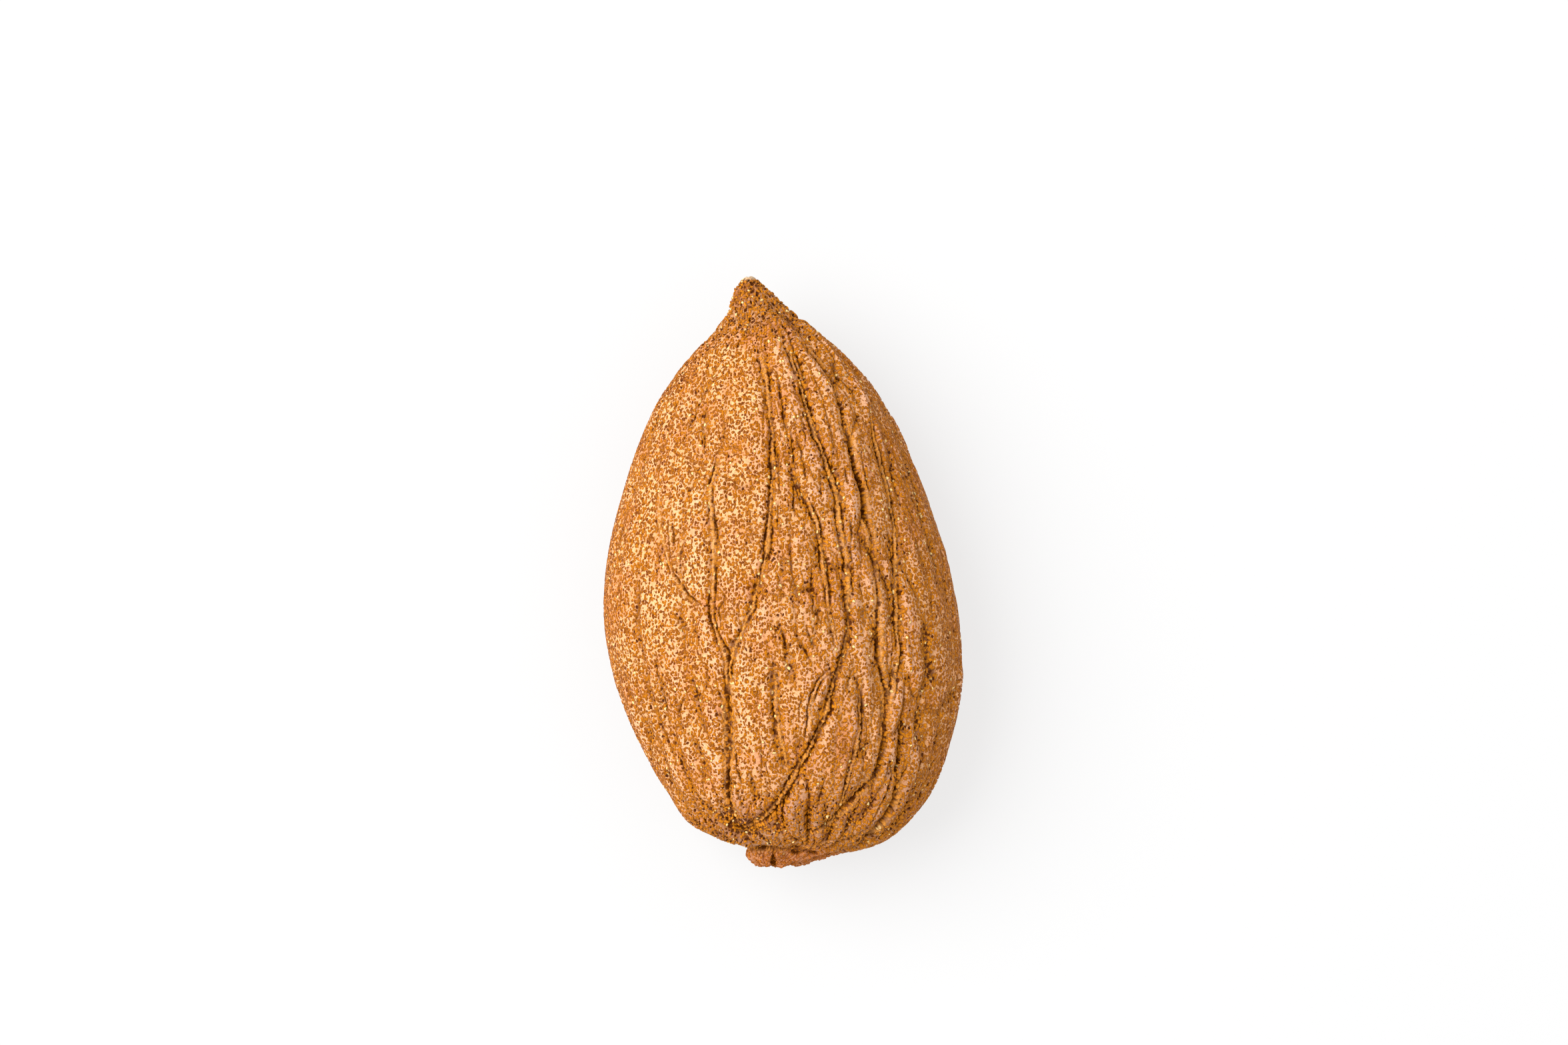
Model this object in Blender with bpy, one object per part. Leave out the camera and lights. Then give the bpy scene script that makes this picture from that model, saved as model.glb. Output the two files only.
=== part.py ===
"""A dry apricot kernel, lying on one of its broad sides.

Frame, in metres: +Z up, +Y towards the pointed tip, X across. The origin is on
the resting plane, below the middle of the bounding box. The kernel is one solid.
It is lofted through stations that run from the tip to the blunt end, and its
belly is flattened where it rests.
"""

import math

import bmesh
import bpy
from mathutils import Vector

MM = 0.001

LENGTH = 20.0 * MM        # from the tip to the end of the flap
WIDTH = 12.0 * MM         # across the widest station
KEEL_HEIGHT = 3.55 * MM   # height of the edge line where the two broad sides meet
CROWN_RISE = 3.95 * MM    # from the keel to the top of the upper side
BELLY_DROP = 3.73 * MM    # from the keel to the bottom of the rounded lower side
# The belly is deeper than the keel is high, so the resting plane cuts it flat.

# Each station: distance along the length, left edge, right edge, and the rise of
# the crown and the drop of the belly. Distances run from 1 at the tip to -1 at
# the blunt end, edges are shares of half the width, and rise and drop are shares
# of their own largest value.
STATIONS = (
    (1.000, -0.180, -0.180, 0.000, 0.000),   # the radicle tip
    (0.988, -0.214, -0.138, 0.070, 0.075),
    (0.955, -0.255, -0.085, 0.130, 0.140),
    (0.915, -0.280, -0.020, 0.185, 0.200),   # the beak
    (0.865, -0.312, 0.085, 0.270, 0.285),
    (0.818, -0.372, 0.200, 0.365, 0.375),
    (0.746, -0.497, 0.342, 0.475, 0.485),    # the shoulders
    (0.638, -0.640, 0.512, 0.610, 0.620),
    (0.493, -0.766, 0.667, 0.750, 0.755),
    (0.277, -0.888, 0.814, 0.890, 0.885),
    (0.060, -0.975, 0.927, 0.975, 0.970),
    (-0.157, -0.998, 0.990, 1.000, 1.000),   # the widest part
    (-0.374, -0.928, 0.998, 0.975, 0.980),
    (-0.590, -0.786, 0.927, 0.890, 0.900),
    (-0.735, -0.662, 0.835, 0.770, 0.780),
    (-0.843, -0.535, 0.697, 0.610, 0.620),
    (-0.900, -0.372, 0.576, 0.470, 0.475),
    (-0.932, -0.220, 0.432, 0.335, 0.335),
    (-0.952, -0.198, 0.285, 0.220, 0.220),   # the root of the flap
    (-0.975, -0.162, 0.152, 0.135, 0.130),
    (-0.992, -0.105, 0.070, 0.080, 0.075),
    (-1.000, -0.015, -0.015, 0.000, 0.000),
)
KEEL_SHARPNESS = 0.14     # 0 is an ellipse in section, 1 is a lens with a sharp edge

# The skin sinks along its main veins. Each furrow is a place across the section,
# from -1 at the left edge to 1 at the right, and its depth in millimetres.
CROWN_FURROWS = (
    (-0.84, 0.07), (-0.38, 0.13), (-0.06, 0.11), (0.34, 0.13),
    (0.52, 0.12), (0.67, 0.10), (0.86, 0.08),
)
BELLY_FURROWS = (
    (-0.80, 0.08), (-0.48, 0.12), (-0.17, 0.10), (0.14, 0.12), (0.45, 0.12), (0.76, 0.08),
)
FURROW_HALF_WIDTH = 0.06  # in the same shares as a furrow's place

RINGS = 54
SEGMENTS = 72

SKIN_COLOUR = (0.52, 0.22, 0.065, 1.0)
SKIN_ROUGHNESS = 0.62


def clear_scene():
    for obj in list(bpy.data.objects):
        bpy.data.objects.remove(obj, do_unlink=True)


def skin_material():
    material = bpy.data.materials.new("kernel_skin")
    material.use_nodes = True
    shader = material.node_tree.nodes["Principled BSDF"]
    shader.inputs["Base Color"].default_value = SKIN_COLOUR
    shader.inputs["Roughness"].default_value = SKIN_ROUGHNESS
    shader.inputs["Metallic"].default_value = 0.0
    return material


def station_at(place):
    """The loft's values at a place along the stations, on a Catmull-Rom curve."""
    last = len(STATIONS) - 1
    index = min(int(place), last - 1)
    step = place - index
    neighbours = [STATIONS[min(max(index + shift, 0), last)] for shift in (-1, 0, 1, 2)]
    return [
        0.5 * (
            2 * b
            + (c - a) * step
            + (2 * a - 5 * b + 4 * c - d) * step ** 2
            + (3 * b - 3 * c + d - a) * step ** 3
        )
        for a, b, c, d in zip(*neighbours)
    ]


def furrow_depth(across, along, furrows):
    """How far the skin sinks at a point of a ring. Furrows fade at both ends."""
    fade = 1.0 - along ** 4
    dips = (
        depth * math.exp(-((across - place) / FURROW_HALF_WIDTH) ** 2)
        for place, depth in furrows
    )
    return fade * sum(dips) * MM


def ring_points(place):
    """One ring of the loft, which runs from the right edge over the crown."""
    along, left, right, rise, drop = station_at(place)
    middle = (left + right) / 2 * WIDTH / 2
    half_width = (right - left) / 2 * WIDTH / 2
    points = []
    for segment in range(SEGMENTS):
        angle = math.tau * segment / SEGMENTS
        across = math.cos(angle)
        lift = math.sin(angle) * abs(math.sin(angle)) ** KEEL_SHARPNESS
        if lift >= 0:
            height = lift * (rise * CROWN_RISE - furrow_depth(across, along, CROWN_FURROWS))
        else:
            height = lift * (drop * BELLY_DROP - furrow_depth(across, along, BELLY_FURROWS))
        points.append(Vector((
            middle + half_width * across,
            along * LENGTH / 2,
            max(0.0, KEEL_HEIGHT + height),
        )))
    return points


def end_point(station):
    along, edge = station[0], station[1]
    return Vector((edge * WIDTH / 2, along * LENGTH / 2, KEEL_HEIGHT))


def loft_mesh():
    """The closed skin: a fan at the tip, quads between rings, and a fan at the blunt end."""
    bm = bmesh.new()
    tip = bm.verts.new(end_point(STATIONS[0]))
    span = len(STATIONS) - 1
    rings = [
        [bm.verts.new(point) for point in ring_points(span * row / (RINGS + 1))]
        for row in range(1, RINGS + 1)
    ]
    base = bm.verts.new(end_point(STATIONS[-1]))
    for this in range(SEGMENTS):
        following = (this + 1) % SEGMENTS
        bm.faces.new((tip, rings[0][following], rings[0][this]))
        for upper, lower in zip(rings, rings[1:]):
            bm.faces.new((upper[this], upper[following], lower[following], lower[this]))
        bm.faces.new((rings[-1][this], rings[-1][following], base))
    bmesh.ops.recalc_face_normals(bm, faces=bm.faces)
    mesh = bpy.data.meshes.new("kernel")
    bm.to_mesh(mesh)
    bm.free()
    return mesh


def centre_over_origin(mesh):
    """Moves the mesh sideways so that the origin is below the middle of its box."""
    for axis in (0, 1):
        values = [vertex.co[axis] for vertex in mesh.vertices]
        middle = (min(values) + max(values)) / 2
        for vertex in mesh.vertices:
            vertex.co[axis] -= middle


def build_kernel():
    mesh = loft_mesh()
    centre_over_origin(mesh)
    mesh.materials.append(skin_material())
    mesh.shade_smooth()
    kernel = bpy.data.objects.new("kernel", mesh)
    bpy.context.collection.objects.link(kernel)
    return kernel


clear_scene()
build_kernel()
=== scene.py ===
"""A dry apricot kernel on a pale floor: its veined, wrinkled and grainy skin."""
import math

import bpy
import numpy as np
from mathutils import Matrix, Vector


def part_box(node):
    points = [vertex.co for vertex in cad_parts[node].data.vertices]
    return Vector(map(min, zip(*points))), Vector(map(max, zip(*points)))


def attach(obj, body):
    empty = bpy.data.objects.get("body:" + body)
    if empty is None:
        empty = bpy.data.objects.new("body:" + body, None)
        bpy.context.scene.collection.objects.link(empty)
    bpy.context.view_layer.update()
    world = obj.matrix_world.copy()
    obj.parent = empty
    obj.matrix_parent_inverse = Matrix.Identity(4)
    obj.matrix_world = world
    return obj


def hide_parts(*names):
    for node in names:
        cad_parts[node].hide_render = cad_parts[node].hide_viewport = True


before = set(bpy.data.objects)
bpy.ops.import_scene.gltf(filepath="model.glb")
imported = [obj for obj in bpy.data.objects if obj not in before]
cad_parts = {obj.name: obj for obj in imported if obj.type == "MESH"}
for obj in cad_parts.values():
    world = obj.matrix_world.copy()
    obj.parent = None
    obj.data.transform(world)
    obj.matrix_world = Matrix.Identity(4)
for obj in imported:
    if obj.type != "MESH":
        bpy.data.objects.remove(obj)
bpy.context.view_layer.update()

MM = 0.001
LOW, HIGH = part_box("kernel")

# ---------------------------------------------------------------- the body's form
# The same loft as the CAD solid, so that the skin lies on it: distance along the
# length, left edge, right edge, rise of the crown and drop of the belly. Lengths
# and edges are shares of half the box, rise and drop of their largest values.
STATIONS = (
    (1.000, -0.180, -0.180, 0.000, 0.000),
    (0.988, -0.214, -0.138, 0.070, 0.075),
    (0.955, -0.255, -0.085, 0.130, 0.140),
    (0.915, -0.280, -0.020, 0.185, 0.200),
    (0.865, -0.312, 0.085, 0.270, 0.285),
    (0.818, -0.372, 0.200, 0.365, 0.375),
    (0.746, -0.497, 0.342, 0.475, 0.485),
    (0.638, -0.640, 0.512, 0.610, 0.620),
    (0.493, -0.766, 0.667, 0.750, 0.755),
    (0.277, -0.888, 0.814, 0.890, 0.885),
    (0.060, -0.975, 0.927, 0.975, 0.970),
    (-0.157, -0.998, 0.990, 1.000, 1.000),
    (-0.374, -0.928, 0.998, 0.975, 0.980),
    (-0.590, -0.786, 0.927, 0.890, 0.900),
    (-0.735, -0.662, 0.835, 0.770, 0.780),
    (-0.843, -0.535, 0.697, 0.610, 0.620),
    (-0.900, -0.372, 0.576, 0.470, 0.475),
    (-0.932, -0.220, 0.432, 0.335, 0.335),
    (-0.952, -0.198, 0.285, 0.220, 0.220),
    (-0.975, -0.162, 0.152, 0.135, 0.130),
    (-0.992, -0.105, 0.070, 0.080, 0.075),
    (-1.000, -0.015, -0.015, 0.000, 0.000),
)
HALF_LENGTH = (HIGH.y - LOW.y) / 2
HALF_WIDTH = (HIGH.x - LOW.x) / 2
KEEL = 3.55 * MM
CROWN_RISE = HIGH.z - KEEL
BELLY_DROP = 3.73 * MM
KEEL_SHARPNESS = 0.14

ROWS = 700
COLUMNS = 940
CROWN_DENSITY = 1.5        # columns stand this much closer on the crown than on the belly

# ------------------------------------------------------------------- the skin's veins
# Each vein is a kind, a furrow depth in millimetres, and its route across the crown
# in millimetres from the middle of the box. A cord stands proud between two fine
# grooves. A crack is a dark cleft between two pale lips. A fold is only a furrow, and
# a crease is only a fine groove.
CORD, CRACK, FOLD, CREASE = "cord", "crack", "fold", "crease"
CROWN_VEINS = (
    (CREASE, 0.02, ((-2.62, 6.9), (-2.6, 5.9), (-2.62, 4.9), (-2.62, 3.9), (-2.5, 3.1))),
    (CREASE, 0.02, ((-3.35, 4.9), (-3.3, 4.1), (-3.0, 3.45), (-2.65, 3.1), (-2.45, 2.7))),
    (CREASE, 0.03, ((-1.2, 4.7), (-1.6, 4.2), (-1.95, 3.75), (-2.25, 3.45))),
    (CREASE, 0.02, ((-1.05, 4.2), (-1.5, 3.85), (-1.95, 3.65), (-2.3, 3.3))),
    (CREASE, 0.03, ((-1.75, 6.6), (-1.87, 5.6), (-1.98, 4.7), (-2.12, 4.0), (-2.3, 3.4))),
    (CORD, 0.09, ((-2.12, 4.0), (-2.27, 3.4), (-2.38, 2.85), (-2.36, 2.15), (-2.28, 1.1),
                  (-2.3, -0.15), (-2.36, -1.2), (-2.15, -2.1), (-1.9, -2.75), (-1.83, -3.5),
                  (-1.85, -4.2))),
    (CRACK, 0.16, ((-1.8, -3.0), (-1.83, -4.15), (-1.83, -5.1), (-1.8, -6.5), (-1.83, -7.3),
                   (-1.75, -8.0), (-1.55, -8.7))),
    (CORD, 0.12, ((-0.75, 7.6), (-0.5, 6.7), (-0.38, 5.4), (-0.28, 4.2), (-0.3, 3.0), (-0.35, 1.7),
                  (-0.5, 0.6), (-0.8, -0.5), (-1.0, -1.25), (-1.4, -2.15), (-1.65, -2.75),
                  (-1.75, -3.5), (-1.78, -4.2))),
    (CREASE, 0.03, ((-0.1, 3.2), (-0.2, 2.9), (-0.28, 2.4))),
    (CORD, 0.04, ((-4.15, 2.9), (-4.2, 1.9), (-4.0, 1.0), (-3.65, -0.15), (-3.0, -0.95),
                  (-2.5, -1.2))),
    (CORD, 0.04, ((-3.35, 1.3), (-3.5, 0.5), (-3.42, -0.2), (-3.2, -0.7), (-2.9, -1.0))),
    (CORD, 0.03, ((-3.6, 2.4), (-3.75, 1.6), (-3.7, 0.9), (-3.5, 0.2))),
    (CORD, 0.09, ((0.75, 2.9), (1.05, 2.2), (1.3, 1.4), (1.4, 0.5), (1.5, -0.3), (1.6, -1.4),
                  (1.88, -2.65))),
    (CREASE, 0.05, ((0.6, 1.15), (0.95, 0.85), (1.35, 0.45))),
    (CREASE, 0.05, ((0.65, -0.05), (1.1, -0.3), (1.5, -0.8))),
    (CORD, 0.15, ((0.05, 7.9), (0.5, 6.9), (0.78, 6.0), (1.0, 5.2), (1.3, 4.35), (1.7, 3.4),
                  (1.95, 2.65), (2.02, 1.8), (2.15, 0.9), (2.27, 0.0), (2.27, -1.0), (2.2, -2.1),
                  (1.95, -2.95), (1.7, -3.8), (1.5, -4.5), (1.25, -5.25), (0.85, -6.1),
                  (0.4, -7.0), (-0.1, -7.8), (-0.7, -8.35), (-1.5, -8.65))),
    (CREASE, 0.05, ((0.45, 7.5), (0.8, 6.6), (1.1, 5.6), (1.3, 4.9), (1.5, 4.3))),
    (CORD, 0.07, ((1.85, -3.1), (1.35, -3.5), (1.08, -3.95), (0.93, -4.6), (0.9, -5.3),
                  (0.8, -5.95))),
    (CREASE, 0.07, ((0.3, -1.5), (0.6, -2.2), (0.9, -2.8), (1.25, -3.35))),
    (CRACK, 0.11, ((0.5, 7.85), (1.2, 7.15), (1.65, 6.5), (2.0, 5.6), (2.15, 4.8), (2.45, 3.7),
                   (2.8, 2.5), (3.05, 1.5), (3.15, 0.5), (3.25, -0.5), (3.3, -1.7), (3.33, -2.7),
                   (3.5, -3.5), (3.6, -4.3), (3.55, -5.6), (3.3, -6.6), (2.8, -7.35), (2.2, -8.0),
                   (1.5, -8.55), (0.6, -9.0))),
    (CREASE, 0.06, ((2.5, 5.5), (2.65, 4.6), (2.8, 3.7), (3.0, 2.9), (3.2, 2.2))),
    (CORD, 0.08, ((2.95, 5.5), (3.25, 4.4), (3.6, 3.1), (3.82, 2.1), (3.92, 1.2), (3.93, 0.2),
                  (4.0, -0.9), (4.0, -2.4), (3.93, -3.5), (3.72, -4.5))),
    (CORD, 0.10, ((2.65, -3.4), (2.7, -4.4), (2.65, -5.2), (2.5, -6.0), (2.33, -6.8), (2.1, -7.7),
                  (1.85, -8.2))),
    (CORD, 0.09, ((-0.2, -2.7), (-0.2, -3.6), (-0.15, -4.5), (0.0, -5.4), (0.2, -6.3),
                  (0.25, -6.8))),
    (CRACK, 0.10, ((4.1, -4.5), (4.15, -5.3), (4.05, -6.3), (3.98, -7.1), (3.8, -7.85), (3.4, -8.45),
                   (2.8, -8.95), (2.0, -9.25))),
    (CREASE, 0.07, ((-4.2, -2.6), (-4.1, -3.6), (-3.9, -4.6), (-3.6, -5.8), (-3.25, -6.8),
                    (-2.8, -7.6), (-2.1, -8.25), (-1.5, -8.6))),
    (CREASE, 0.05, ((-2.9, -3.6), (-3.2, -4.1), (-3.5, -4.7), (-3.55, -5.4))),
    (CREASE, 0.06, ((-1.25, -6.1), (-1.0, -7.0), (-0.9, -7.7))),
    (CREASE, 0.05, ((-0.75, -5.0), (-0.68, -6.0), (-0.72, -7.2))),
    (FOLD, 0.10, ((3.4, 6.1), (4.0, 4.8), (4.4, 3.7), (4.75, 2.5), (5.05, 1.1))),
    (CREASE, 0.05, ((3.9, 5.2), (4.3, 4.1), (4.6, 3.1), (4.8, 2.2))),
    (CREASE, 0.07, ((4.1, 3.8), (4.4, 3.0), (4.72, 2.2), (5.15, 1.0), (5.3, 0.1))),
    (FOLD, 0.15, ((5.0, -1.5), (5.0, -2.3), (5.1, -3.1), (5.35, -3.8))),
    (FOLD, 0.10, ((4.6, -4.4), (4.75, -5.2), (4.9, -6.1))),
    (CREASE, 0.04, ((-4.1, 5.55), (-4.6, 4.2), (-5.1, 2.65), (-5.45, 1.3), (-5.7, -0.05))),
    (FOLD, 0.10, ((-2.6, -8.0), (-1.9, -8.45), (-1.2, -8.65), (-0.4, -8.6), (0.3, -8.3))),
    (CRACK, 0.12, ((-1.35, -9.25), (-0.8, -9.36), (-0.1, -9.4), (0.5, -9.33))),
    (CORD, 0.02, ((0.2, -9.4), (0.9, -9.35), (1.6, -9.17), (2.4, -8.98), (3.0, -8.7))),
)
BELLY_VEINS = (
    (CORD, 0.09, ((-1.3, 7.4), (-1.9, 6.0), (-2.9, 4.2), (-3.9, 2.0), (-4.3, -0.5), (-4.0, -3.2),
                  (-3.1, -5.9), (-1.9, -8.3))),
    (CRACK, 0.13, ((-0.9, 6.6), (-1.2, 4.9), (-1.9, 2.6), (-2.4, 0.3), (-2.3, -2.2), (-2.5, -4.7),
                   (-1.9, -7.0), (-1.2, -8.7))),
    (CREASE, 0.05, ((-3.2, 1.9), (-2.9, 0.6), (-2.45, -0.4))),
    (CORD, 0.12, ((-0.6, 7.6), (-0.5, 5.8), (-0.8, 3.6), (-0.6, 1.2), (-0.9, -1.1), (-0.4, -3.6),
                  (-0.8, -6.0), (-0.7, -8.6))),
    (CREASE, 0.06, ((0.4, 3.1), (0.0, 1.6), (-0.55, 0.5))),
    (CRACK, 0.12, ((0.1, 7.1), (0.8, 5.3), (1.1, 3.3), (1.5, 0.9), (1.2, -1.6), (1.5, -4.0),
                   (0.9, -6.4), (-0.1, -8.6))),
    (CORD, 0.07, ((2.3, -0.9), (1.9, -2.4), (1.5, -3.8))),
    (CORD, 0.12, ((0.9, 6.9), (1.9, 5.1), (2.6, 2.9), (3.1, 0.4), (3.0, -2.2), (3.2, -4.6),
                  (2.4, -7.0), (0.7, -8.8))),
    (CORD, 0.10, ((2.7, 5.3), (3.7, 3.2), (4.5, 0.7), (4.7, -2.0), (4.4, -4.8), (3.4, -7.3),
                  (1.8, -8.9))),
)
FINE_CREASES = 300         # short creases strewn over the skin, each side
ROUTE_STEP = 0.03 * MM     # between the points at which a vein is measured
END_TAPER = 0.9 * MM       # a vein rises to full strength over this length
WANDER = 0.030 * MM        # how far a vein strays from its smooth route
RAGGED = 0.030 * MM        # how ragged its edges are
RAGGED_LENGTH = 0.24 * MM
GATHER_PLACE = (-1.45 * MM, -8.6 * MM)   # where the crown's veins come together
CLEFT_PLACE = (-0.4 * MM, -9.36 * MM)    # the middle of the cleft between the body and the flap
CLEFT_DEPTH = 0.18 * MM
BEAK_LUMP = 0.07 * MM
FLAP_KNOB = 0.12 * MM
FURROW_SCALE = 1.35        # times the furrow depths given above
FURROW_HALF_WIDTH = 0.28 * MM
CORD_HEIGHT = 0.045 * MM
CORD_HALF_WIDTH = 0.050 * MM
GROOVE_DEPTH = 0.080 * MM
GROOVE_OFFSET = 0.105 * MM
GROOVE_HALF_WIDTH = 0.045 * MM
CRACK_DEPTH = 0.120 * MM
CRACK_HALF_WIDTH = 0.065 * MM
LIP_HEIGHT = 0.025 * MM
LIP_OFFSET = 0.150 * MM
LIP_HALF_WIDTH = 0.060 * MM
CREASE_DEPTH = 0.060 * MM
CREASE_HALF_WIDTH = 0.050 * MM
VEIN_REACH = 0.62 * MM     # how far from a vein the skin still feels it

# ------------------------------------------------------------- wrinkles and grains
SWELL_LENGTH, SWELL_DEPTH = 1.6 * MM, 0.170 * MM
PUCKER_LENGTHS = (1.15 * MM, 0.62 * MM)      # across the kernel, from one valley to the next but one
PUCKER_DEPTHS = (0.225 * MM, 0.165 * MM)
WRINKLE_SQUEEZE = 0.34     # of a wrinkle's length, which makes it long and narrow
WRINKLE_DRIFT = (2.0 * MM, 0.35 * MM)        # a wrinkle's slow bends: their length and how far they go
WRINKLE_KINK = (0.5 * MM, 0.05 * MM)         # and its short ones
PATCH_LENGTH = 2.2 * MM    # between places where the puckers are strong and where they are weak
SKIN_SINK = 0.04 * MM      # keeps the wrinkles' crests near the CAD solid's skin
LUMP_LENGTHS = (0.42 * MM, 0.20 * MM)        # of the beak's and the flap's lumps
RIB_LENGTHS = (0.26 * MM, 1.2 * MM, 0.5 * MM)    # of the flap's ribs, across, along and up
FINE_HOLLOW = (0.10 * MM, 0.030 * MM)   # a hollow's width, and the depth that counts as full
BROAD_HOLLOW = (0.40 * MM, 0.090 * MM)
GRAIN_PITCH = 0.092        # millimetres between grains
GRAIN_HEIGHT = 0.030 * MM
PIT_SHARE = 0.42           # of the grains are pits where the skin is most pitted
PIT_DEPTH = 1.8            # grain heights from a grain's top to the bottom of a pit

# ------------------------------------------------------------ the stage and the view
KEY_POWER = 1.8            # watts
KEY_SIZE = 0.36            # metres across
KEY_PLACE = (-0.22, 0.08, 0.31)
AMBIENT = 0.86             # strength of the white surroundings
FLOOR_SIZE = 1.2           # metres
FLOOR_SHADE = 0.17         # share of the light that the floor gives back
FLOOR_GLOW = 0.71          # strength of the floor's own light
BASE_VIEW_HEIGHT = 0.25    # metres from the keel to the camera
FRAME_WIDTH = 53.1 * MM    # what the picture's long side takes in at the keel
VIEW_SHIFT = (0.09 * MM, 1.68 * MM)  # from the middle of the box to the middle of the view
SENSOR_WIDTH = 36.0        # millimetres, which is how Blender gives it
NEAR_CLIP = 0.005          # metres

CURVE_SAMPLES = 4001       # places at which the loft is measured to space its rows evenly
NOISE_KNOTS = 32           # knots along each side of the cube that a noise repeats


def catmull_rom(table, places):
    """Rows of a smooth curve through the table's rows, at places counted in rows."""
    table = np.asarray(table, float)
    last = len(table) - 1
    index = np.clip(places.astype(int), 0, last - 1)
    step = (places - index)[:, None]
    a, b, c, d = (table[np.clip(index + shift, 0, last)] for shift in (-1, 0, 1, 2))
    return 0.5 * (
        2 * b
        + (c - a) * step
        + (2 * a - 5 * b + 4 * c - d) * step ** 2
        + (3 * b - 3 * c + d - a) * step ** 3
    )


def skin_points(values, angles):
    """Points of the smooth skin. Angles run from the right edge over the crown."""
    along, left, right, rise, drop = np.moveaxis(values, -1, 0)
    lift = np.sin(angles) * np.abs(np.sin(angles)) ** KEEL_SHARPNESS
    reach = np.where(lift >= 0, rise * CROWN_RISE, drop * BELLY_DROP)
    x = HALF_WIDTH * ((left + right) / 2 + (right - left) / 2 * np.cos(angles))
    y = HALF_LENGTH * along + 0 * angles
    z = np.maximum(LOW.z, KEEL + lift * reach)
    return np.stack([x, y, z], axis=-1)


def even_places(count):
    """Places along the stations whose rings are evenly spaced over the skin."""
    places = np.linspace(0, len(STATIONS) - 1, CURVE_SAMPLES)
    values = catmull_rom(STATIONS, places)
    quarter_turns = np.arange(4) * math.pi / 2
    lines = skin_points(values[:, None, :], quarter_turns[None, :])
    steps = np.linalg.norm(np.diff(lines, axis=0), axis=-1).mean(axis=1)
    length = np.concatenate([[0], np.cumsum(steps)])
    wanted = length[-1] * (np.arange(count) + 0.5) / count
    return np.interp(wanted, length, places), wanted


def even_angles(count):
    """Angles that are evenly spaced round each half of the widest ring."""
    angles = np.linspace(0, math.tau, CURVE_SAMPLES)
    widest = np.array([0, -1, 1, 1, 1.0])
    ring = skin_points(widest[None, :], angles)
    steps = np.linalg.norm(np.diff(ring, axis=0), axis=-1)
    steps = steps * np.where(angles[1:] < math.pi, CROWN_DENSITY, 1)
    length = np.concatenate([[0], np.cumsum(steps)])
    return np.interp(length[-1] * np.arange(count) / count, length, angles)


def outward_normals(points):
    across = np.roll(points, -1, axis=1) - np.roll(points, 1, axis=1)
    along = np.gradient(points, axis=0)
    normals = np.cross(across, along)
    return normals / np.maximum(np.linalg.norm(normals, axis=-1, keepdims=True), 1e-12)


def smoothstep(value, low, high):
    share = np.clip((value - low) / (high - low), 0, 1)
    return share * share * (3 - 2 * share)


def lattice_noise(points, seed):
    """Smooth random values from -1 to 1, with one knot per unit of length."""
    knots = np.random.default_rng(seed).uniform(-1, 1, (NOISE_KNOTS, NOISE_KNOTS, NOISE_KNOTS))
    cell = np.floor(points).astype(int)
    step = points - cell
    step = step * step * step * (step * (step * 6 - 15) + 10)
    total = 0
    for corner in np.ndindex(2, 2, 2):
        weight = 1
        for axis in range(3):
            weight = weight * (step[..., axis] if corner[axis] else 1 - step[..., axis])
        x, y, z = (np.mod(cell[..., axis] + corner[axis], NOISE_KNOTS) for axis in range(3))
        total = total + weight * knots[x, y, z]
    return total


def blurred(field, width):
    """The field softened over a width in metres. Columns join up round the kernel."""
    spacing = 2.15 * HALF_LENGTH / ROWS
    steps = width / spacing
    margin = int(4 * steps) + 1
    padded = np.pad(field, ((margin, margin), (0, 0)), mode="edge")
    down = np.fft.fftfreq(padded.shape[0])[:, None]
    across = np.fft.rfftfreq(padded.shape[1])[None, :]
    keep = np.exp(-2 * (math.pi * steps) ** 2 * (down ** 2 + across ** 2))
    return np.fft.irfft2(np.fft.rfft2(padded) * keep, padded.shape)[margin:-margin]


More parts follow.
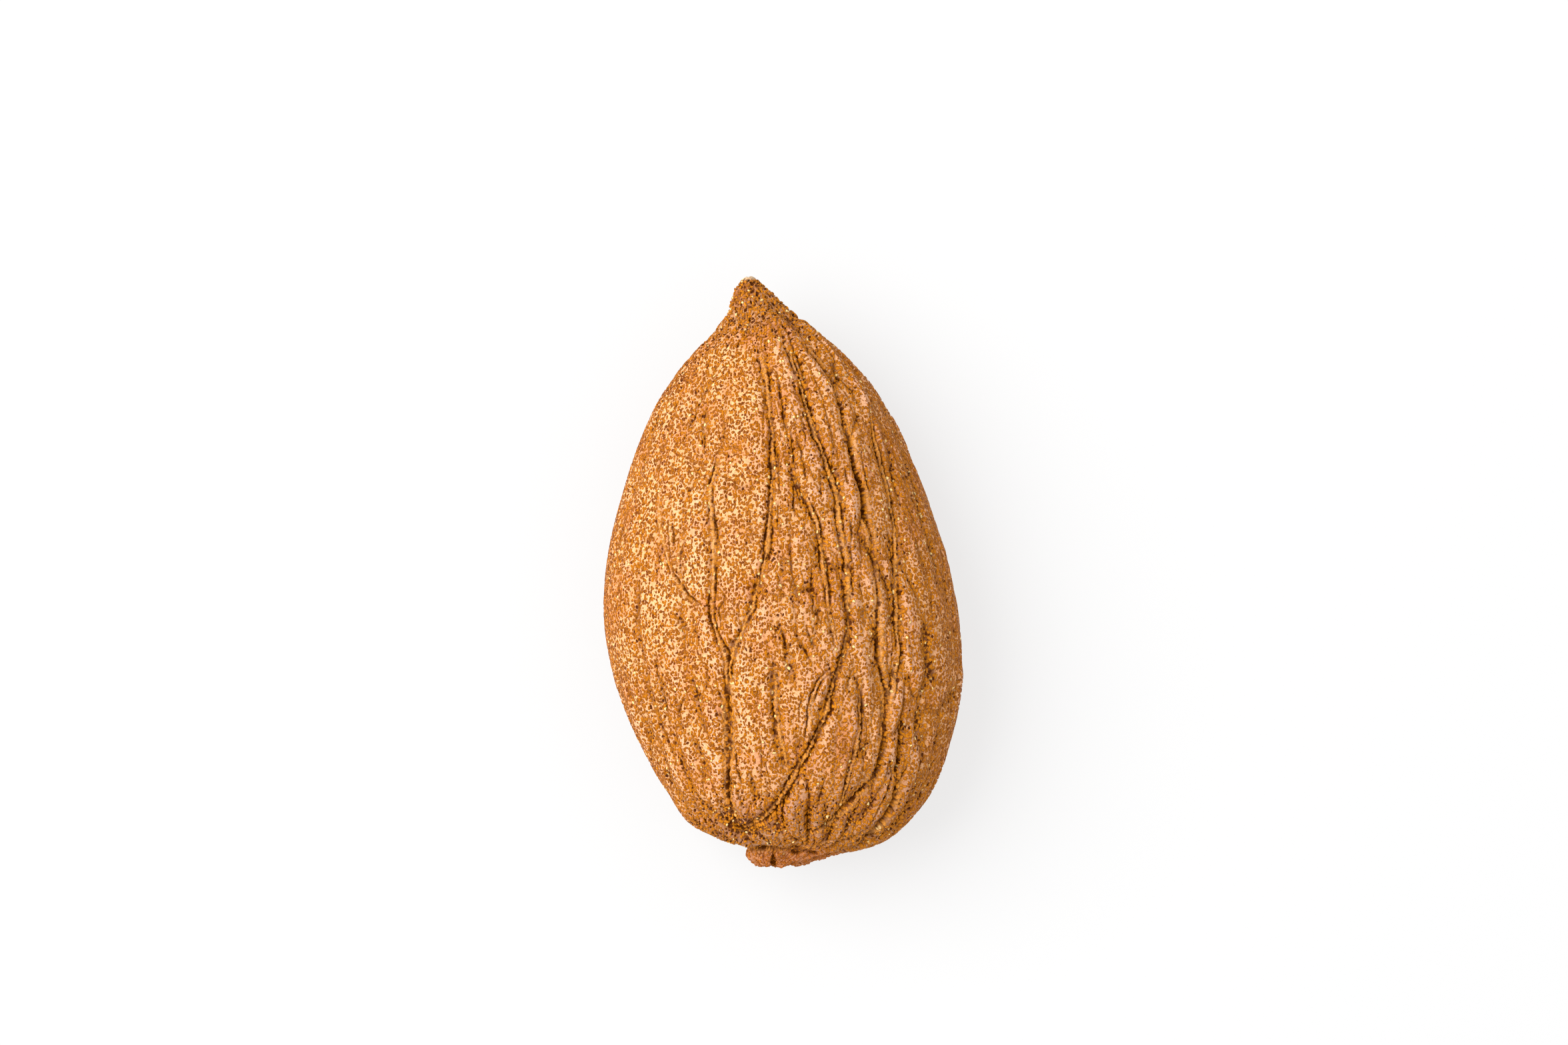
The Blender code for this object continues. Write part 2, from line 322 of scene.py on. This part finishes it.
class Skin:
    """The smooth skin as a grid of rows along the kernel and columns round it."""

    def __init__(self):
        self.places, self.travelled = even_places(ROWS)
        self.angles = even_angles(COLUMNS)
        self.values = catmull_rom(STATIONS, self.places)
        self.points = skin_points(self.values[:, None, :], self.angles[None, :])
        self.normals = outward_normals(self.points)
        noise = [lattice_noise(self.points / RAGGED_LENGTH, seed) for seed in (11, 12, 13)]
        self.ragged = self.points + RAGGED * np.stack(noise, axis=-1)
        across = np.roll(self.points, -1, axis=1) - self.points
        self.column_steps = np.linalg.norm(across, axis=-1).max(axis=1)
        self.row_step = self.travelled[1] - self.travelled[0]
        self.dense = np.linspace(0, len(STATIONS) - 1, CURVE_SAMPLES)
        self.dense_along = catmull_rom(STATIONS, self.dense)[:, 0]

    def edges_at(self, y):
        """The stations' values at distances along the kernel."""
        places = np.interp(-y / HALF_LENGTH, -self.dense_along, self.dense)
        return places, catmull_rom(STATIONS, places)

    def locate(self, x, y, side):
        """Points on the skin above or below x and y, with their rows and columns."""
        places, values = self.edges_at(y)
        middle, half = (values[:, 1] + values[:, 2]) / 2, (values[:, 2] - values[:, 1]) / 2
        angles = side * np.arccos(np.clip((x / HALF_WIDTH - middle) / half, -1, 1))
        rows = np.interp(places, self.places, np.arange(ROWS)).round().astype(int)
        columns = np.interp(np.mod(angles, math.tau), self.angles, np.arange(COLUMNS))
        return skin_points(values, angles), rows, columns.round().astype(int)

    def nearest(self, line, rows, columns, reach):
        """Each grid point's distance to a line, and the number of the line's nearest point."""
        gap = np.full((ROWS, COLUMNS), np.inf)
        number = np.zeros((ROWS, COLUMNS), int)
        tall = int(reach / self.row_step) + 1
        for index, (point, row, column) in enumerate(zip(line, rows, columns)):
            wide = min(int(reach / self.column_steps[row]) + 1, COLUMNS // 5)
            down = np.arange(max(row - tall, 0), min(row + tall + 1, ROWS))
            patch = np.ix_(down, np.arange(column - wide, column + wide + 1) % COLUMNS)
            distance = np.sqrt(((self.ragged[patch] - point) ** 2).sum(axis=-1))
            closer = distance < gap[patch]
            gap[patch] = np.where(closer, distance, gap[patch])
            number[patch] = np.where(closer, index, number[patch])
        return gap, number


def uneven(travelled, wave, low, high, rng):
    """Random values that change smoothly along a line, one knot for each wave."""
    knots = rng.uniform(low, high, int(travelled[-1] / wave) + 3)
    place = travelled / wave
    index = place.astype(int)
    share = smoothstep(place - index, 0, 1)
    return knots[index] * (1 - share) + knots[index + 1] * share


def bell(distance, half_width):
    return np.exp(-((distance / half_width) ** 2))


def lay_vein(skin, fields, kind, depth, route, side, rng):
    """Adds one vein to the fields. Where veins meet, the stronger value stays."""
    route = np.array(route) * MM
    length = np.linalg.norm(np.diff(route, axis=0), axis=1).sum()
    count = max(int(length / ROUTE_STEP), 3)
    line = catmull_rom(route, np.linspace(0, len(route) - 1, count))
    travelled = np.linspace(0, length, count)
    for wave, share in ((2.4 * MM, 1.6), (0.9 * MM, 1.0), (0.4 * MM, 0.6)):
        line[:, 0] += WANDER * share * uneven(travelled, wave, -1, 1, rng)
    points, rows, columns = skin.locate(line[:, 0], line[:, 1], side)
    reach = 0.2 * MM if kind == CREASE and depth < 0.04 else VEIN_REACH
    gap, number = skin.nearest(points, rows, columns, reach)
    here = np.nonzero(gap < reach)
    gap, number = gap[here], number[here]

    ends = np.clip(np.minimum(travelled, length - travelled) / END_TAPER, 0.1, 1)[number]
    turn = np.mod(here[1] - columns[number] + COLUMNS // 2, COLUMNS) - COLUMNS // 2
    powers = [
        np.clip(uneven(travelled, 0.6 * MM, -0.4, 1.5, rng), 0.05, 1)[number]
        for _ in range(3)
    ]
    power = ends * np.where(turn < 0, powers[0], powers[1])
    thickness = uneven(travelled, 0.8 * MM, 0.6, 1.25, rng)[number]

    def keep(name, value):
        fields[name][here] = np.maximum(fields[name][here], value)

    keep("furrow", depth * ends ** 0.5 * bell(gap, FURROW_HALF_WIDTH * thickness))
    if kind == CORD:
        keep("cord", ends * (0.5 + 0.5 * powers[2]) * bell(gap, CORD_HALF_WIDTH * thickness))
        keep("groove", power * bell(gap - GROOVE_OFFSET * thickness, GROOVE_HALF_WIDTH))
    if kind == CRACK:
        keep("crack", ends * (0.4 + 0.6 * powers[2]) * bell(gap, CRACK_HALF_WIDTH * thickness))
        keep("lip", power * bell(gap - LIP_OFFSET * thickness, LIP_HALF_WIDTH))
    if kind == CREASE:
        strength = min(depth / 0.06, 1) * ends * powers[2]
        keep("crease", strength * bell(gap, CREASE_HALF_WIDTH * thickness))


def strewn_creases(skin, count, rng):
    """Short creases along the kernel, most of them towards its right side and blunt end."""
    routes = []
    while len(routes) < count:
        share = rng.uniform(-0.93, 0.95)
        start = rng.uniform(-0.86, 0.75)
        length = rng.uniform(0.07, 0.30)
        wanted = max(smoothstep(share, -0.5, 0.4), smoothstep(start, 0.2, -0.5), 0.12)
        if rng.uniform() > wanted:
            continue
        y = HALF_LENGTH * (start - length * np.linspace(0, 1, 6))
        lean = np.linspace(0, rng.normal(0, 0.05), 6) + rng.normal(0, 0.006, 6)
        values = skin.edges_at(np.maximum(y, -0.93 * HALF_LENGTH))[1]
        middle, half = (values[:, 1] + values[:, 2]) / 2, (values[:, 2] - values[:, 1]) / 2
        x = HALF_WIDTH * (middle + half * np.clip(share + lean, -0.97, 0.97))
        routes.append(np.column_stack([x, np.maximum(y, -0.93 * HALF_LENGTH)]) / MM)
    return routes


def vein_relief(skin):
    """Relief of the veins in metres, and the fields of their pale parts, dark lines and furrows."""
    names = ("furrow", "cord", "groove", "crack", "lip", "crease")
    fields = {name: np.zeros((ROWS, COLUMNS)) for name in names}
    for veins, side, seed in ((CROWN_VEINS, 1, 3), (BELLY_VEINS, -1, 4)):
        rng = np.random.default_rng(seed)
        for kind, depth, route in veins:
            lay_vein(skin, fields, kind, depth, route, side, rng)
        for route in strewn_creases(skin, FINE_CREASES, rng):
            lay_vein(skin, fields, CREASE, rng.uniform(0.01, 0.08), route, side, rng)
    cord = fields["cord"]
    groove = fields["groove"] * (1 - 0.8 * np.clip(cord, 0, 1))
    furrow = blurred(fields["furrow"], 0.05 * MM)
    relief = (
        CORD_HEIGHT * cord
        - GROOVE_DEPTH * groove
        - CRACK_DEPTH * fields["crack"]
        + LIP_HEIGHT * fields["lip"]
        - CREASE_DEPTH * fields["crease"]
        - FURROW_SCALE * MM * furrow
    )
    lines = np.maximum(np.maximum(groove, fields["crack"]), fields["crease"])
    return relief, np.maximum(cord, 0.7 * fields["lip"]), lines, furrow / 0.15


def wrinkle_relief(skin):
    """Relief of the wrinkles that run along the kernel, in metres.

    Wide swells carry puckers, which have round crests and sharp valleys.
    """
    radius = (HALF_WIDTH + CROWN_RISE) / 2
    ring = np.stack([
        radius * np.cos(skin.angles)[None, :] + 0 * skin.travelled[:, None],
        radius * np.sin(skin.angles)[None, :] + 0 * skin.travelled[:, None],
        WRINKLE_SQUEEZE * skin.travelled[:, None] + 0 * skin.angles[None, :],
    ], axis=-1)
    drift_length, drift_reach = WRINKLE_DRIFT
    kink_length, kink_reach = WRINKLE_KINK
    drift = np.stack([lattice_noise(ring / drift_length + 9, seed) for seed in (21, 22, 23)], axis=-1)
    kinks = np.stack([lattice_noise(skin.points / kink_length, seed) for seed in (24, 25, 26)], axis=-1)
    ring = ring + drift_reach * drift + kink_reach * kinks
    relief = SWELL_DEPTH * lattice_noise(ring / SWELL_LENGTH, 31)
    for number, (length, depth) in enumerate(zip(PUCKER_LENGTHS, PUCKER_DEPTHS)):
        crest = np.minimum(np.abs(lattice_noise(ring / length, 32 + number)) * 2.2, 1) ** 0.8
        patchy = smoothstep(lattice_noise(skin.points / PATCH_LENGTH, 36 + number), -0.5, 0.4)
        relief = relief + depth * (crest - 0.6) * (0.35 + 0.65 * patchy)
    return relief


def restlessness(skin):
    """How wrinkled the skin is, from 0 to 1: least on the crown's left side."""
    x, y, z = np.moveaxis(skin.points, -1, 0)
    right = smoothstep(x, -2.6 * MM, 1.2 * MM)
    low = 0.75 * smoothstep(y, -1.5 * MM, -6.5 * MM)
    under = 0.8 * smoothstep(z, KEEL, KEEL - 1.5 * MM)
    calm_edge = 1 - 0.40 * np.abs(np.cos(skin.angles))[None, :] ** 6
    return calm_edge * (0.3 + 0.7 * np.maximum(np.maximum(right, low), under))


def hollow(relief, width, full):
    """How far the relief lies below its surroundings, from -1 on a swell to 1 in a hollow."""
    return np.clip((blurred(relief, width) - relief) / full, -1, 1)


def rough_ends(skin, beak, flap):
    """Relief of the lumpy beak and flap and of the cleft between flap and body, in metres.

    Also where the cleft and the flap's hollows are, from 0 to 1.
    """
    x, y = skin.points[..., 0], skin.points[..., 1]
    broad_lumps = lattice_noise(skin.points / LUMP_LENGTHS[0], 41)
    lumps = broad_lumps + 0.6 * lattice_noise(skin.points / LUMP_LENGTHS[1], 42)
    ribs = lattice_noise(skin.points / np.array(RIB_LENGTHS), 43)
    cleft = bell(y - CLEFT_PLACE[1], 0.10 * MM) * bell(x - CLEFT_PLACE[0], 1.0 * MM)
    short_of_tip = smoothstep(y / HALF_LENGTH, 0.995, 0.955)
    knobs = 0.7 * ribs + 0.5 * lumps
    relief = BEAK_LUMP * lumps * beak * short_of_tip + FLAP_KNOB * knobs * flap - CLEFT_DEPTH * cleft
    return relief, cleft, flap * np.clip(-3.2 * knobs, 0, 1)


def painted_fields(skin, relief, height, beak, flap, veins, cleft, flap_hollows):
    """The fields that the grains and the material read, by name."""
    cord, lines, furrow = veins
    x, y, z = np.moveaxis(skin.points, -1, 0)
    on_crown = z > KEEL
    fine_hollow, broad_hollow = hollow(relief, *FINE_HOLLOW), hollow(relief, *BROAD_HOLLOW)
    valley = np.clip(0.6 * np.clip(furrow, 0, 1) + 0.7 * np.maximum(broad_hollow, 0), 0, 1)
    low_end = smoothstep(y, -6.0 * MM, -8.8 * MM)
    edge = np.abs(np.cos(skin.angles))[None, :] ** 4
    shaded_edge = edge * (0.5 + 0.5 * smoothstep(x, -2.0 * MM, 2.0 * MM))
    rim = edge * (x < 0) * smoothstep(y, 5.0 * MM, 7.0 * MM)
    from_gather = np.hypot(x - GATHER_PLACE[0], 1.4 * (y - GATHER_PLACE[1]))
    gather = on_crown * bell(from_gather, 1.0 * MM)
    from_knot = np.hypot((x - GATHER_PLACE[0]) / 1.6, 1.3 * (y - GATHER_PLACE[1]))
    knot = 0.8 * on_crown * bell(from_knot, 0.30 * MM)
    # Painted shade: the ground darkens towards the right side, away from the lamp. It also darkens
    # towards the blunt end and where the crown's veins gather.
    shaded_right_and_dark_base = 0.20 * smoothstep(x, -1.5 * MM, 2.0 * MM) + 0.25 * low_end + 0.40 * gather
    lifted = smoothstep(height, LOW.z, LOW.z + 2 * GRAIN_HEIGHT)
    valley_pits = valley * (0.8 + 0.4 * low_end)
    hollow_crowding = 0.2 * furrow + 0.3 * broad_hollow
    return {
        "cord": np.clip(cord, 0, 1),
        # Where dark brown is painted: the shade in the grooves, cracks, creases, the cleft and the
        # flap's hollows, and the dark knot where the crown's veins gather.
        "lines": smoothstep(np.maximum.reduce([lines, cleft, knot, 0.85 * flap_hollows]), 0.25, 0.85),
        # Painted light: the ground is paler on the broad swells.
        "swell": np.maximum(-broad_hollow, 0),
        # Painted shade in the small hollows of the relief.
        "notch_shade": np.maximum(fine_hollow, 0),
        # Darkens the ground: painted shade in the furrows and broad hollows and on the side away from
        # the lamp, more towards the blunt end, and the beak's darker skin.
        "dark": np.clip(shaded_right_and_dark_base + 0.65 * beak + valley * (0.9 + 0.4 * low_end), 0, 1),
        "crowding": np.clip(0.4 * shaded_edge + 0.1 * beak + hollow_crowding - 0.4 * flap, -0.4, 0.5),
        "pitting": np.clip(beak + 0.6 * rim + 0.15 * low_end + gather + valley_pits, 0, 1),
        "bulk": lifted * (1 + 0.6 * beak + 0.3 * low_end - 0.2 * flap - 0.3 * np.clip(cord, 0, 1)),
        "radicle": smoothstep(y / HALF_LENGTH, 0.986, 0.994),
        "flap": flap,
    }


def closed_mesh(points, tip, base):
    """A mesh of a grid of rings, with a fan from its first ring to the tip and one to the base."""
    number = 1 + np.arange(ROWS * COLUMNS).reshape(ROWS, COLUMNS)
    following = np.roll(number, -1, axis=1)
    quads = np.stack([number[:-1], following[:-1], following[1:], number[1:]], axis=-1)
    last = ROWS * COLUMNS + 1
    fans = [(0, b, a) for a, b in zip(number[0], following[0])]
    fans += [(last, a, b) for a, b in zip(number[-1], following[-1])]
    mesh = bpy.data.meshes.new("kernel_skin")
    corners = np.concatenate([tip, points.reshape(-1, 3), base])
    mesh.from_pydata(corners, [], quads.reshape(-1, 4).tolist() + fans)
    mesh.shade_smooth()
    return mesh


def kernel_mesh():
    """The wrinkled skin without its grains, and its painted fields."""
    skin = Skin()
    along = skin.values[:, 0][:, None]
    beak = smoothstep(along, 0.70, 0.92)
    flap = smoothstep(along, -0.93, -0.955)
    half_widths = (skin.values[:, 2] - skin.values[:, 1]) / 2
    fade = np.clip(half_widths / 0.40, 0.15, 1)[:, None]
    veins, *vein_fields = vein_relief(skin)
    rough, cleft, flap_hollows = rough_ends(skin, beak, flap)
    relief = (veins + wrinkle_relief(skin) * restlessness(skin) - SKIN_SINK) * fade + rough
    points = skin.points + skin.normals * relief[..., None]
    points[..., 2] = np.maximum(points[..., 2], LOW.z)

    tip = np.array([[HALF_WIDTH * STATIONS[0][1], HALF_LENGTH, KEEL]])
    base = np.array([[HALF_WIDTH * STATIONS[-1][1], -HALF_LENGTH, KEEL]])
    mesh = closed_mesh(points, tip, base)
    fields = painted_fields(skin, relief, points[..., 2], beak, flap, vein_fields, cleft, flap_hollows)
    for name, field in fields.items():
        field = field + 0 * relief
        spread = np.concatenate([field[0, :1], field.ravel(), field[-1, :1]])
        attribute = mesh.attributes.new(name, "FLOAT", "POINT")
        attribute.data.foreach_set("value", spread.astype(np.float32))
    smooth_places = np.concatenate([tip, skin.points.reshape(-1, 3), base]) / MM
    attribute = mesh.attributes.new("skin", "FLOAT_VECTOR", "POINT")
    attribute.data.foreach_set("vector", smooth_places.astype(np.float32).ravel())
    wrap_map(mesh)
    return mesh


def wrap_map(mesh):
    """One sheet of UV space wrapped round the kernel, which opens along the right edge.

    It has the name that the exporter looks for, so that the baked colours use it.
    """
    column = np.arange(COLUMNS)
    left, right, middle = column / COLUMNS, (column + 1) / COLUMNS, (column + 0.5) / COLUMNS
    line = (np.arange(ROWS) + 0.5) / ROWS
    upper, lower = (np.broadcast_to(v[:, None], (ROWS - 1, COLUMNS)) for v in (line[:-1], line[1:]))
    left_all, right_all = (np.broadcast_to(u[None, :], (ROWS - 1, COLUMNS)) for u in (left, right))
    quads = np.stack([left_all, upper, right_all, upper, right_all, lower, left_all, lower], axis=-1)
    zero, one = 0 * middle, 0 * middle + 1
    tip_fan = np.stack([middle, zero, right, zero + line[0], left, zero + line[0]], axis=-1)
    base_fan = np.stack([middle, one, left, zero + line[-1], right, zero + line[-1]], axis=-1)
    layer = mesh.uv_layers.new(name="OFBake")
    flat = np.concatenate([quads.ravel(), tip_fan.ravel(), base_fan.ravel()])
    layer.data.foreach_set("uv", flat.astype(np.float32))


# ------------------------------------------------------------------- node helpers
def add(tree, kind, links=None, **settings):
    """A node with its settings, and its inputs set to values or linked to sockets."""
    node = tree.nodes.new(kind)
    for name, value in settings.items():
        setattr(node, name, value)
    for key, value in (links or {}).items():
        if isinstance(value, bpy.types.NodeSocket):
            tree.links.new(value, node.inputs[key])
        else:
            node.inputs[key].default_value = value
    return node


def calc(tree, operation, *values, clamp=False):
    node = add(tree, "ShaderNodeMath", dict(enumerate(values)), operation=operation)
    node.use_clamp = clamp
    return node.outputs[0]


def ramp(tree, value, low, high):
    """0 below low, 1 above high, and a smooth step between them."""
    node = add(tree, "ShaderNodeMapRange", interpolation_type="SMOOTHSTEP")
    for socket, number in zip(node.inputs[1:5], (low, high, 0.0, 1.0)):
        socket.default_value = number
    tree.links.new(value, node.inputs[0])
    return node.outputs[0]


def grain(tree, skin, crowding, pitting):
    """Height of the grains from 0 to 1, which of them are pits, and each one's random colour.

    The geometry and the material share it, so that the colour sits on the bumps.
    """
    warp = add(tree, "ShaderNodeTexNoise", {"Vector": skin, "Scale": 6.0, "Detail": 1.0})
    bend = add(tree, "ShaderNodeVectorMath", {0: warp.outputs["Color"], 1: (0.5, 0.5, 0.5)},
               operation="SUBTRACT")
    shift = add(tree, "ShaderNodeVectorMath", {0: bend.outputs[0], "Scale": 0.13},
                operation="SCALE")
    moved = add(tree, "ShaderNodeVectorMath", {0: skin, 1: shift.outputs[0]}, operation="ADD")
    squeezed = add(tree, "ShaderNodeVectorMath", {0: moved.outputs[0], 1: (1.06, 0.90, 1.06)},
                   operation="MULTIPLY")
    cells = add(tree, "ShaderNodeTexVoronoi",
                {"Vector": squeezed.outputs[0], "Scale": 1 / GRAIN_PITCH, "Randomness": 0.9},
                feature="F1")
    closer = calc(tree, "MULTIPLY", crowding, 0.20)
    distance = calc(tree, "SUBTRACT", cells.outputs["Distance"], closer)
    height = ramp(tree, calc(tree, "SUBTRACT", 1.0, distance), 0.41, 0.58)
    chance = add(tree, "ShaderNodeVectorMath", {0: cells.outputs["Color"], 1: (0.0, 0.0, 1.0)},
                 operation="DOT_PRODUCT").outputs["Value"]
    pitted_share = calc(tree, "MULTIPLY", pitting, PIT_SHARE)
    chosen = ramp(tree, calc(tree, "SUBTRACT", pitted_share, chance), 0.0, 0.04)
    return height, calc(tree, "MULTIPLY", height, chosen), cells.outputs["Color"]


def add_grains(kernel):
    """Raises the grains as real geometry, and keeps the result as the object's mesh."""
    tree = bpy.data.node_groups.new("raise_grains", "GeometryNodeTree")
    tree.interface.new_socket("Geometry", in_out="INPUT", socket_type="NodeSocketGeometry")
    tree.interface.new_socket("Geometry", in_out="OUTPUT", socket_type="NodeSocketGeometry")
    entry = add(tree, "NodeGroupInput")
    leave = add(tree, "NodeGroupOutput")

    def read(name):
        node = add(tree, "GeometryNodeInputNamedAttribute", {"Name": name}, data_type="FLOAT")
        return node.outputs["Attribute"]

    skin = add(tree, "GeometryNodeInputNamedAttribute", {"Name": "skin"}, data_type="FLOAT_VECTOR")
    height, pit, _ = grain(tree, skin.outputs["Attribute"], read("crowding"), read("pitting"))
    height = calc(tree, "MULTIPLY_ADD", pit, -PIT_DEPTH, height)
    lift = calc(tree, "MULTIPLY", calc(tree, "MULTIPLY", height, read("bulk")), GRAIN_HEIGHT)
    normal = add(tree, "GeometryNodeInputNormal")
    offset = add(tree, "ShaderNodeVectorMath", {0: normal.outputs[0], "Scale": lift}, operation="SCALE")
    move = add(tree, "GeometryNodeSetPosition",
               {"Geometry": entry.outputs[0], "Offset": offset.outputs[0]})
    tree.links.new(move.outputs[0], leave.inputs[0])
    modifier = kernel.modifiers.new("grains", "NODES")
    modifier.node_group = tree
    depsgraph = bpy.context.evaluated_depsgraph_get()
    raised = bpy.data.meshes.new_from_object(
        kernel.evaluated_get(depsgraph), preserve_all_data_layers=True, depsgraph=depsgraph
    )
    kernel.modifiers.clear()
    kernel.data = raised
    bpy.data.node_groups.remove(tree)


# ------------------------------------------------------------------------ materials
def colour(red, green, blue):
    """A colour given as screen values from 0 to 255."""
    shares = (value / 255 for value in (red, green, blue))
    linear = (s / 12.92 if s <= 0.04045 else ((s + 0.055) / 1.055) ** 2.4 for s in shares)
    return (*linear, 1.0)


GROUND = colour(248, 187, 130)
PAINTED_LIT_GROUND = colour(244, 190, 156)
GROUND_DEEP = colour(232, 156, 100)
GRAIN_AMBER = colour(200, 119, 0)
GRAIN_RUST = colour(120, 58, 0)
GRAIN_FOOT_SHADE = colour(128, 66, 4)
GRAIN_GLINT = colour(255, 222, 150)
HOLLOW_SHADE = colour(80, 36, 0)
PIT_SHADE = colour(86, 38, 0)
# The dark ground: the beak's own darker skin, and painted shade in the valleys, in small hollows and on
# the side away from the lamp.
DARK_AND_SHADED_GROUND = colour(104, 50, 8)
GRAIN_GOLD = colour(236, 152, 32)
CORD_COLOUR = colour(236, 168, 88)
RADICLE_COLOUR = colour(214, 186, 150)
FLAP_COLOUR = colour(176, 94, 30)


def mix(tree, share, first, second, blend="MIX"):
    node = add(tree, "ShaderNodeMix", data_type="RGBA", blend_type=blend)
    for socket, value in ((node.inputs[0], share), (node.inputs[6], first), (node.inputs[7], second)):
        if isinstance(value, bpy.types.NodeSocket):
            tree.links.new(value, socket)
        else:
            socket.default_value = value
    return node.outputs[2]


def skin_material():
    material = bpy.data.materials.new("kernel_skin")
    material.use_nodes = True
    tree = material.node_tree
    shader = tree.nodes["Principled BSDF"]

    def read(name):
        return add(tree, "ShaderNodeAttribute", attribute_name=name).outputs["Fac"]

    skin = add(tree, "ShaderNodeAttribute", attribute_name="skin").outputs["Vector"]
    pitting = read("pitting")
    height, pit, random_colour = grain(tree, skin, read("crowding"), pitting)
    random = add(tree, "ShaderNodeSeparateColor", {0: random_colour})
    blotch = add(tree, "ShaderNodeTexNoise", {"Vector": skin, "Scale": 0.8, "Detail": 3.0})
    fine = add(tree, "ShaderNodeTexNoise", {"Vector": skin, "Scale": 22.0, "Detail": 3.0})

    dark = read("dark")
    amber = mix(tree, random.outputs[0], GRAIN_AMBER, GRAIN_RUST)
    amber = mix(tree, calc(tree, "MULTIPLY", dark, 0.5), amber, GRAIN_GOLD)
    luck = calc(tree, "MULTIPLY_ADD", pitting, 0.035, random.outputs[1])
    glint = calc(tree, "MULTIPLY", ramp(tree, luck, 0.985, 0.993), ramp(tree, height, 0.75, 0.9))
    amber = mix(tree, glint, amber, GRAIN_GLINT)
    ground = mix(tree, ramp(tree, blotch.outputs["Fac"], 0.4, 0.7), GROUND, GROUND_DEEP)
    # Painted light: the ground is paler on the broad swells.
    ground = mix(tree, calc(tree, "MULTIPLY", read("swell"), 0.7), ground, PAINTED_LIT_GROUND)
    # Painted shade in the valleys and on the side away from the lamp, and the darker beak and blunt
    # end.
    ground = mix(tree, calc(tree, "MULTIPLY", dark, 0.85), ground, DARK_AND_SHADED_GROUND)
    # Painted shade: a darker ring round the foot of each grain.
    base = mix(tree, ramp(tree, height, 0.04, 0.20), ground, GRAIN_FOOT_SHADE)
    covered = ramp(tree, height, 0.20, 0.45)
    base = mix(tree, covered, base, amber)
    # Painted shade: the pits sunk into the skin are dark.
    base = mix(tree, pit, base, PIT_SHADE)
    base = mix(tree, calc(tree, "MULTIPLY", read("cord"), 0.6), base, CORD_COLOUR)
    # Painted shade: the ground darkens in the small hollows.
    base = mix(tree, calc(tree, "MULTIPLY", read("notch_shade"), 0.38), base, DARK_AND_SHADED_GROUND)
    base = mix(tree, calc(tree, "MULTIPLY", read("flap"), 0.5), base, FLAP_COLOUR)
    between = calc(tree, "MULTIPLY_ADD", height, -0.5, 1.0)
    # Painted shade in the grooves, cracks, creases, cleft and flap hollows, and the dark knot where the
    # veins gather.
    base = mix(tree, calc(tree, "MULTIPLY", read("lines"), between), base, HOLLOW_SHADE)
    base = mix(tree, read("radicle"), base, RADICLE_COLOUR)
    speck = ramp(tree, fine.outputs["Fac"], 0.40, 0.62)
    base = mix(tree, calc(tree, "MULTIPLY", speck, 0.3), base, GRAIN_RUST, "MULTIPLY")
    tree.links.new(base, shader.inputs["Base Color"])

    rough = add(tree, "ShaderNodeMapRange", {0: covered, 3: 0.70, 4: 0.40})
    tree.links.new(rough.outputs[0], shader.inputs["Roughness"])
    shine = add(tree, "ShaderNodeMapRange", {0: read("lines"), 3: 0.10, 4: 0.01})
    tree.links.new(shine.outputs[0], shader.inputs["Specular IOR Level"])

    relief = calc(tree, "MULTIPLY_ADD", fine.outputs["Fac"], 0.35, height)
    bump = add(tree, "ShaderNodeBump", {"Height": relief, "Strength": 0.8, "Distance": 0.02 * MM})
    tree.links.new(bump.outputs[0], shader.inputs["Normal"])
    return material


def floor_material():
    """A grey surface that also gives off light, so that it shows white with pale shadows."""
    material = bpy.data.materials.new("floor_white")
    material.use_nodes = True
    shader = material.node_tree.nodes["Principled BSDF"]
    shader.inputs["Base Color"].default_value = (FLOOR_SHADE, FLOOR_SHADE, FLOOR_SHADE, 1)
    shader.inputs["Roughness"].default_value = 0.9
    shader.inputs["Emission Color"].default_value = (1, 1, 1, 1)
    shader.inputs["Emission Strength"].default_value = FLOOR_GLOW
    return material


# ---------------------------------------------------------------- the scene's pieces
def make_kernel():
    kernel = bpy.data.objects.new("kernel_skin", kernel_mesh())
    bpy.context.collection.objects.link(kernel)
    add_grains(kernel)
    kernel.data.materials.append(skin_material())
    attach(kernel, "root")
    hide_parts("kernel")


def make_floor():
    bpy.ops.mesh.primitive_plane_add(size=FLOOR_SIZE, location=(0, 0, LOW.z))
    floor = bpy.context.object
    floor.name = "floor"
    floor.data.materials.append(floor_material())


def make_light(name, size, power, place, target=(0, 0, KEEL)):
    light = bpy.data.lights.new(name, "AREA")
    light.shape = "DISK"
    light.size = size
    light.energy = power
    lamp = bpy.data.objects.new(name, light)
    lamp.location = place
    direction = Vector(target) - Vector(place)
    lamp.rotation_euler = direction.to_track_quat("-Z", "Y").to_euler()
    bpy.context.collection.objects.link(lamp)


def make_world(strength):
    world = bpy.data.worlds.new("studio")
    world.use_nodes = True
    background = world.node_tree.nodes["Background"]
    background.inputs[0].default_value = (1, 1, 1, 1)
    background.inputs[1].default_value = strength
    bpy.context.scene.world = world
    bpy.context.scene.view_settings.view_transform = "Standard"


def make_camera():
    data = bpy.data.cameras.new("camera")
    data.sensor_width = SENSOR_WIDTH
    data.lens = data.sensor_width * BASE_VIEW_HEIGHT / FRAME_WIDTH
    data.clip_start = NEAR_CLIP
    camera = bpy.data.objects.new("camera", data)
    middle = (LOW + HIGH) / 2
    camera.location = (middle.x + VIEW_SHIFT[0], middle.y + VIEW_SHIFT[1], KEEL + BASE_VIEW_HEIGHT)
    bpy.context.collection.objects.link(camera)
    bpy.context.scene.camera = camera


make_camera()
make_kernel()
make_floor()
make_light("key", KEY_SIZE, KEY_POWER, KEY_PLACE)
make_world(AMBIENT)
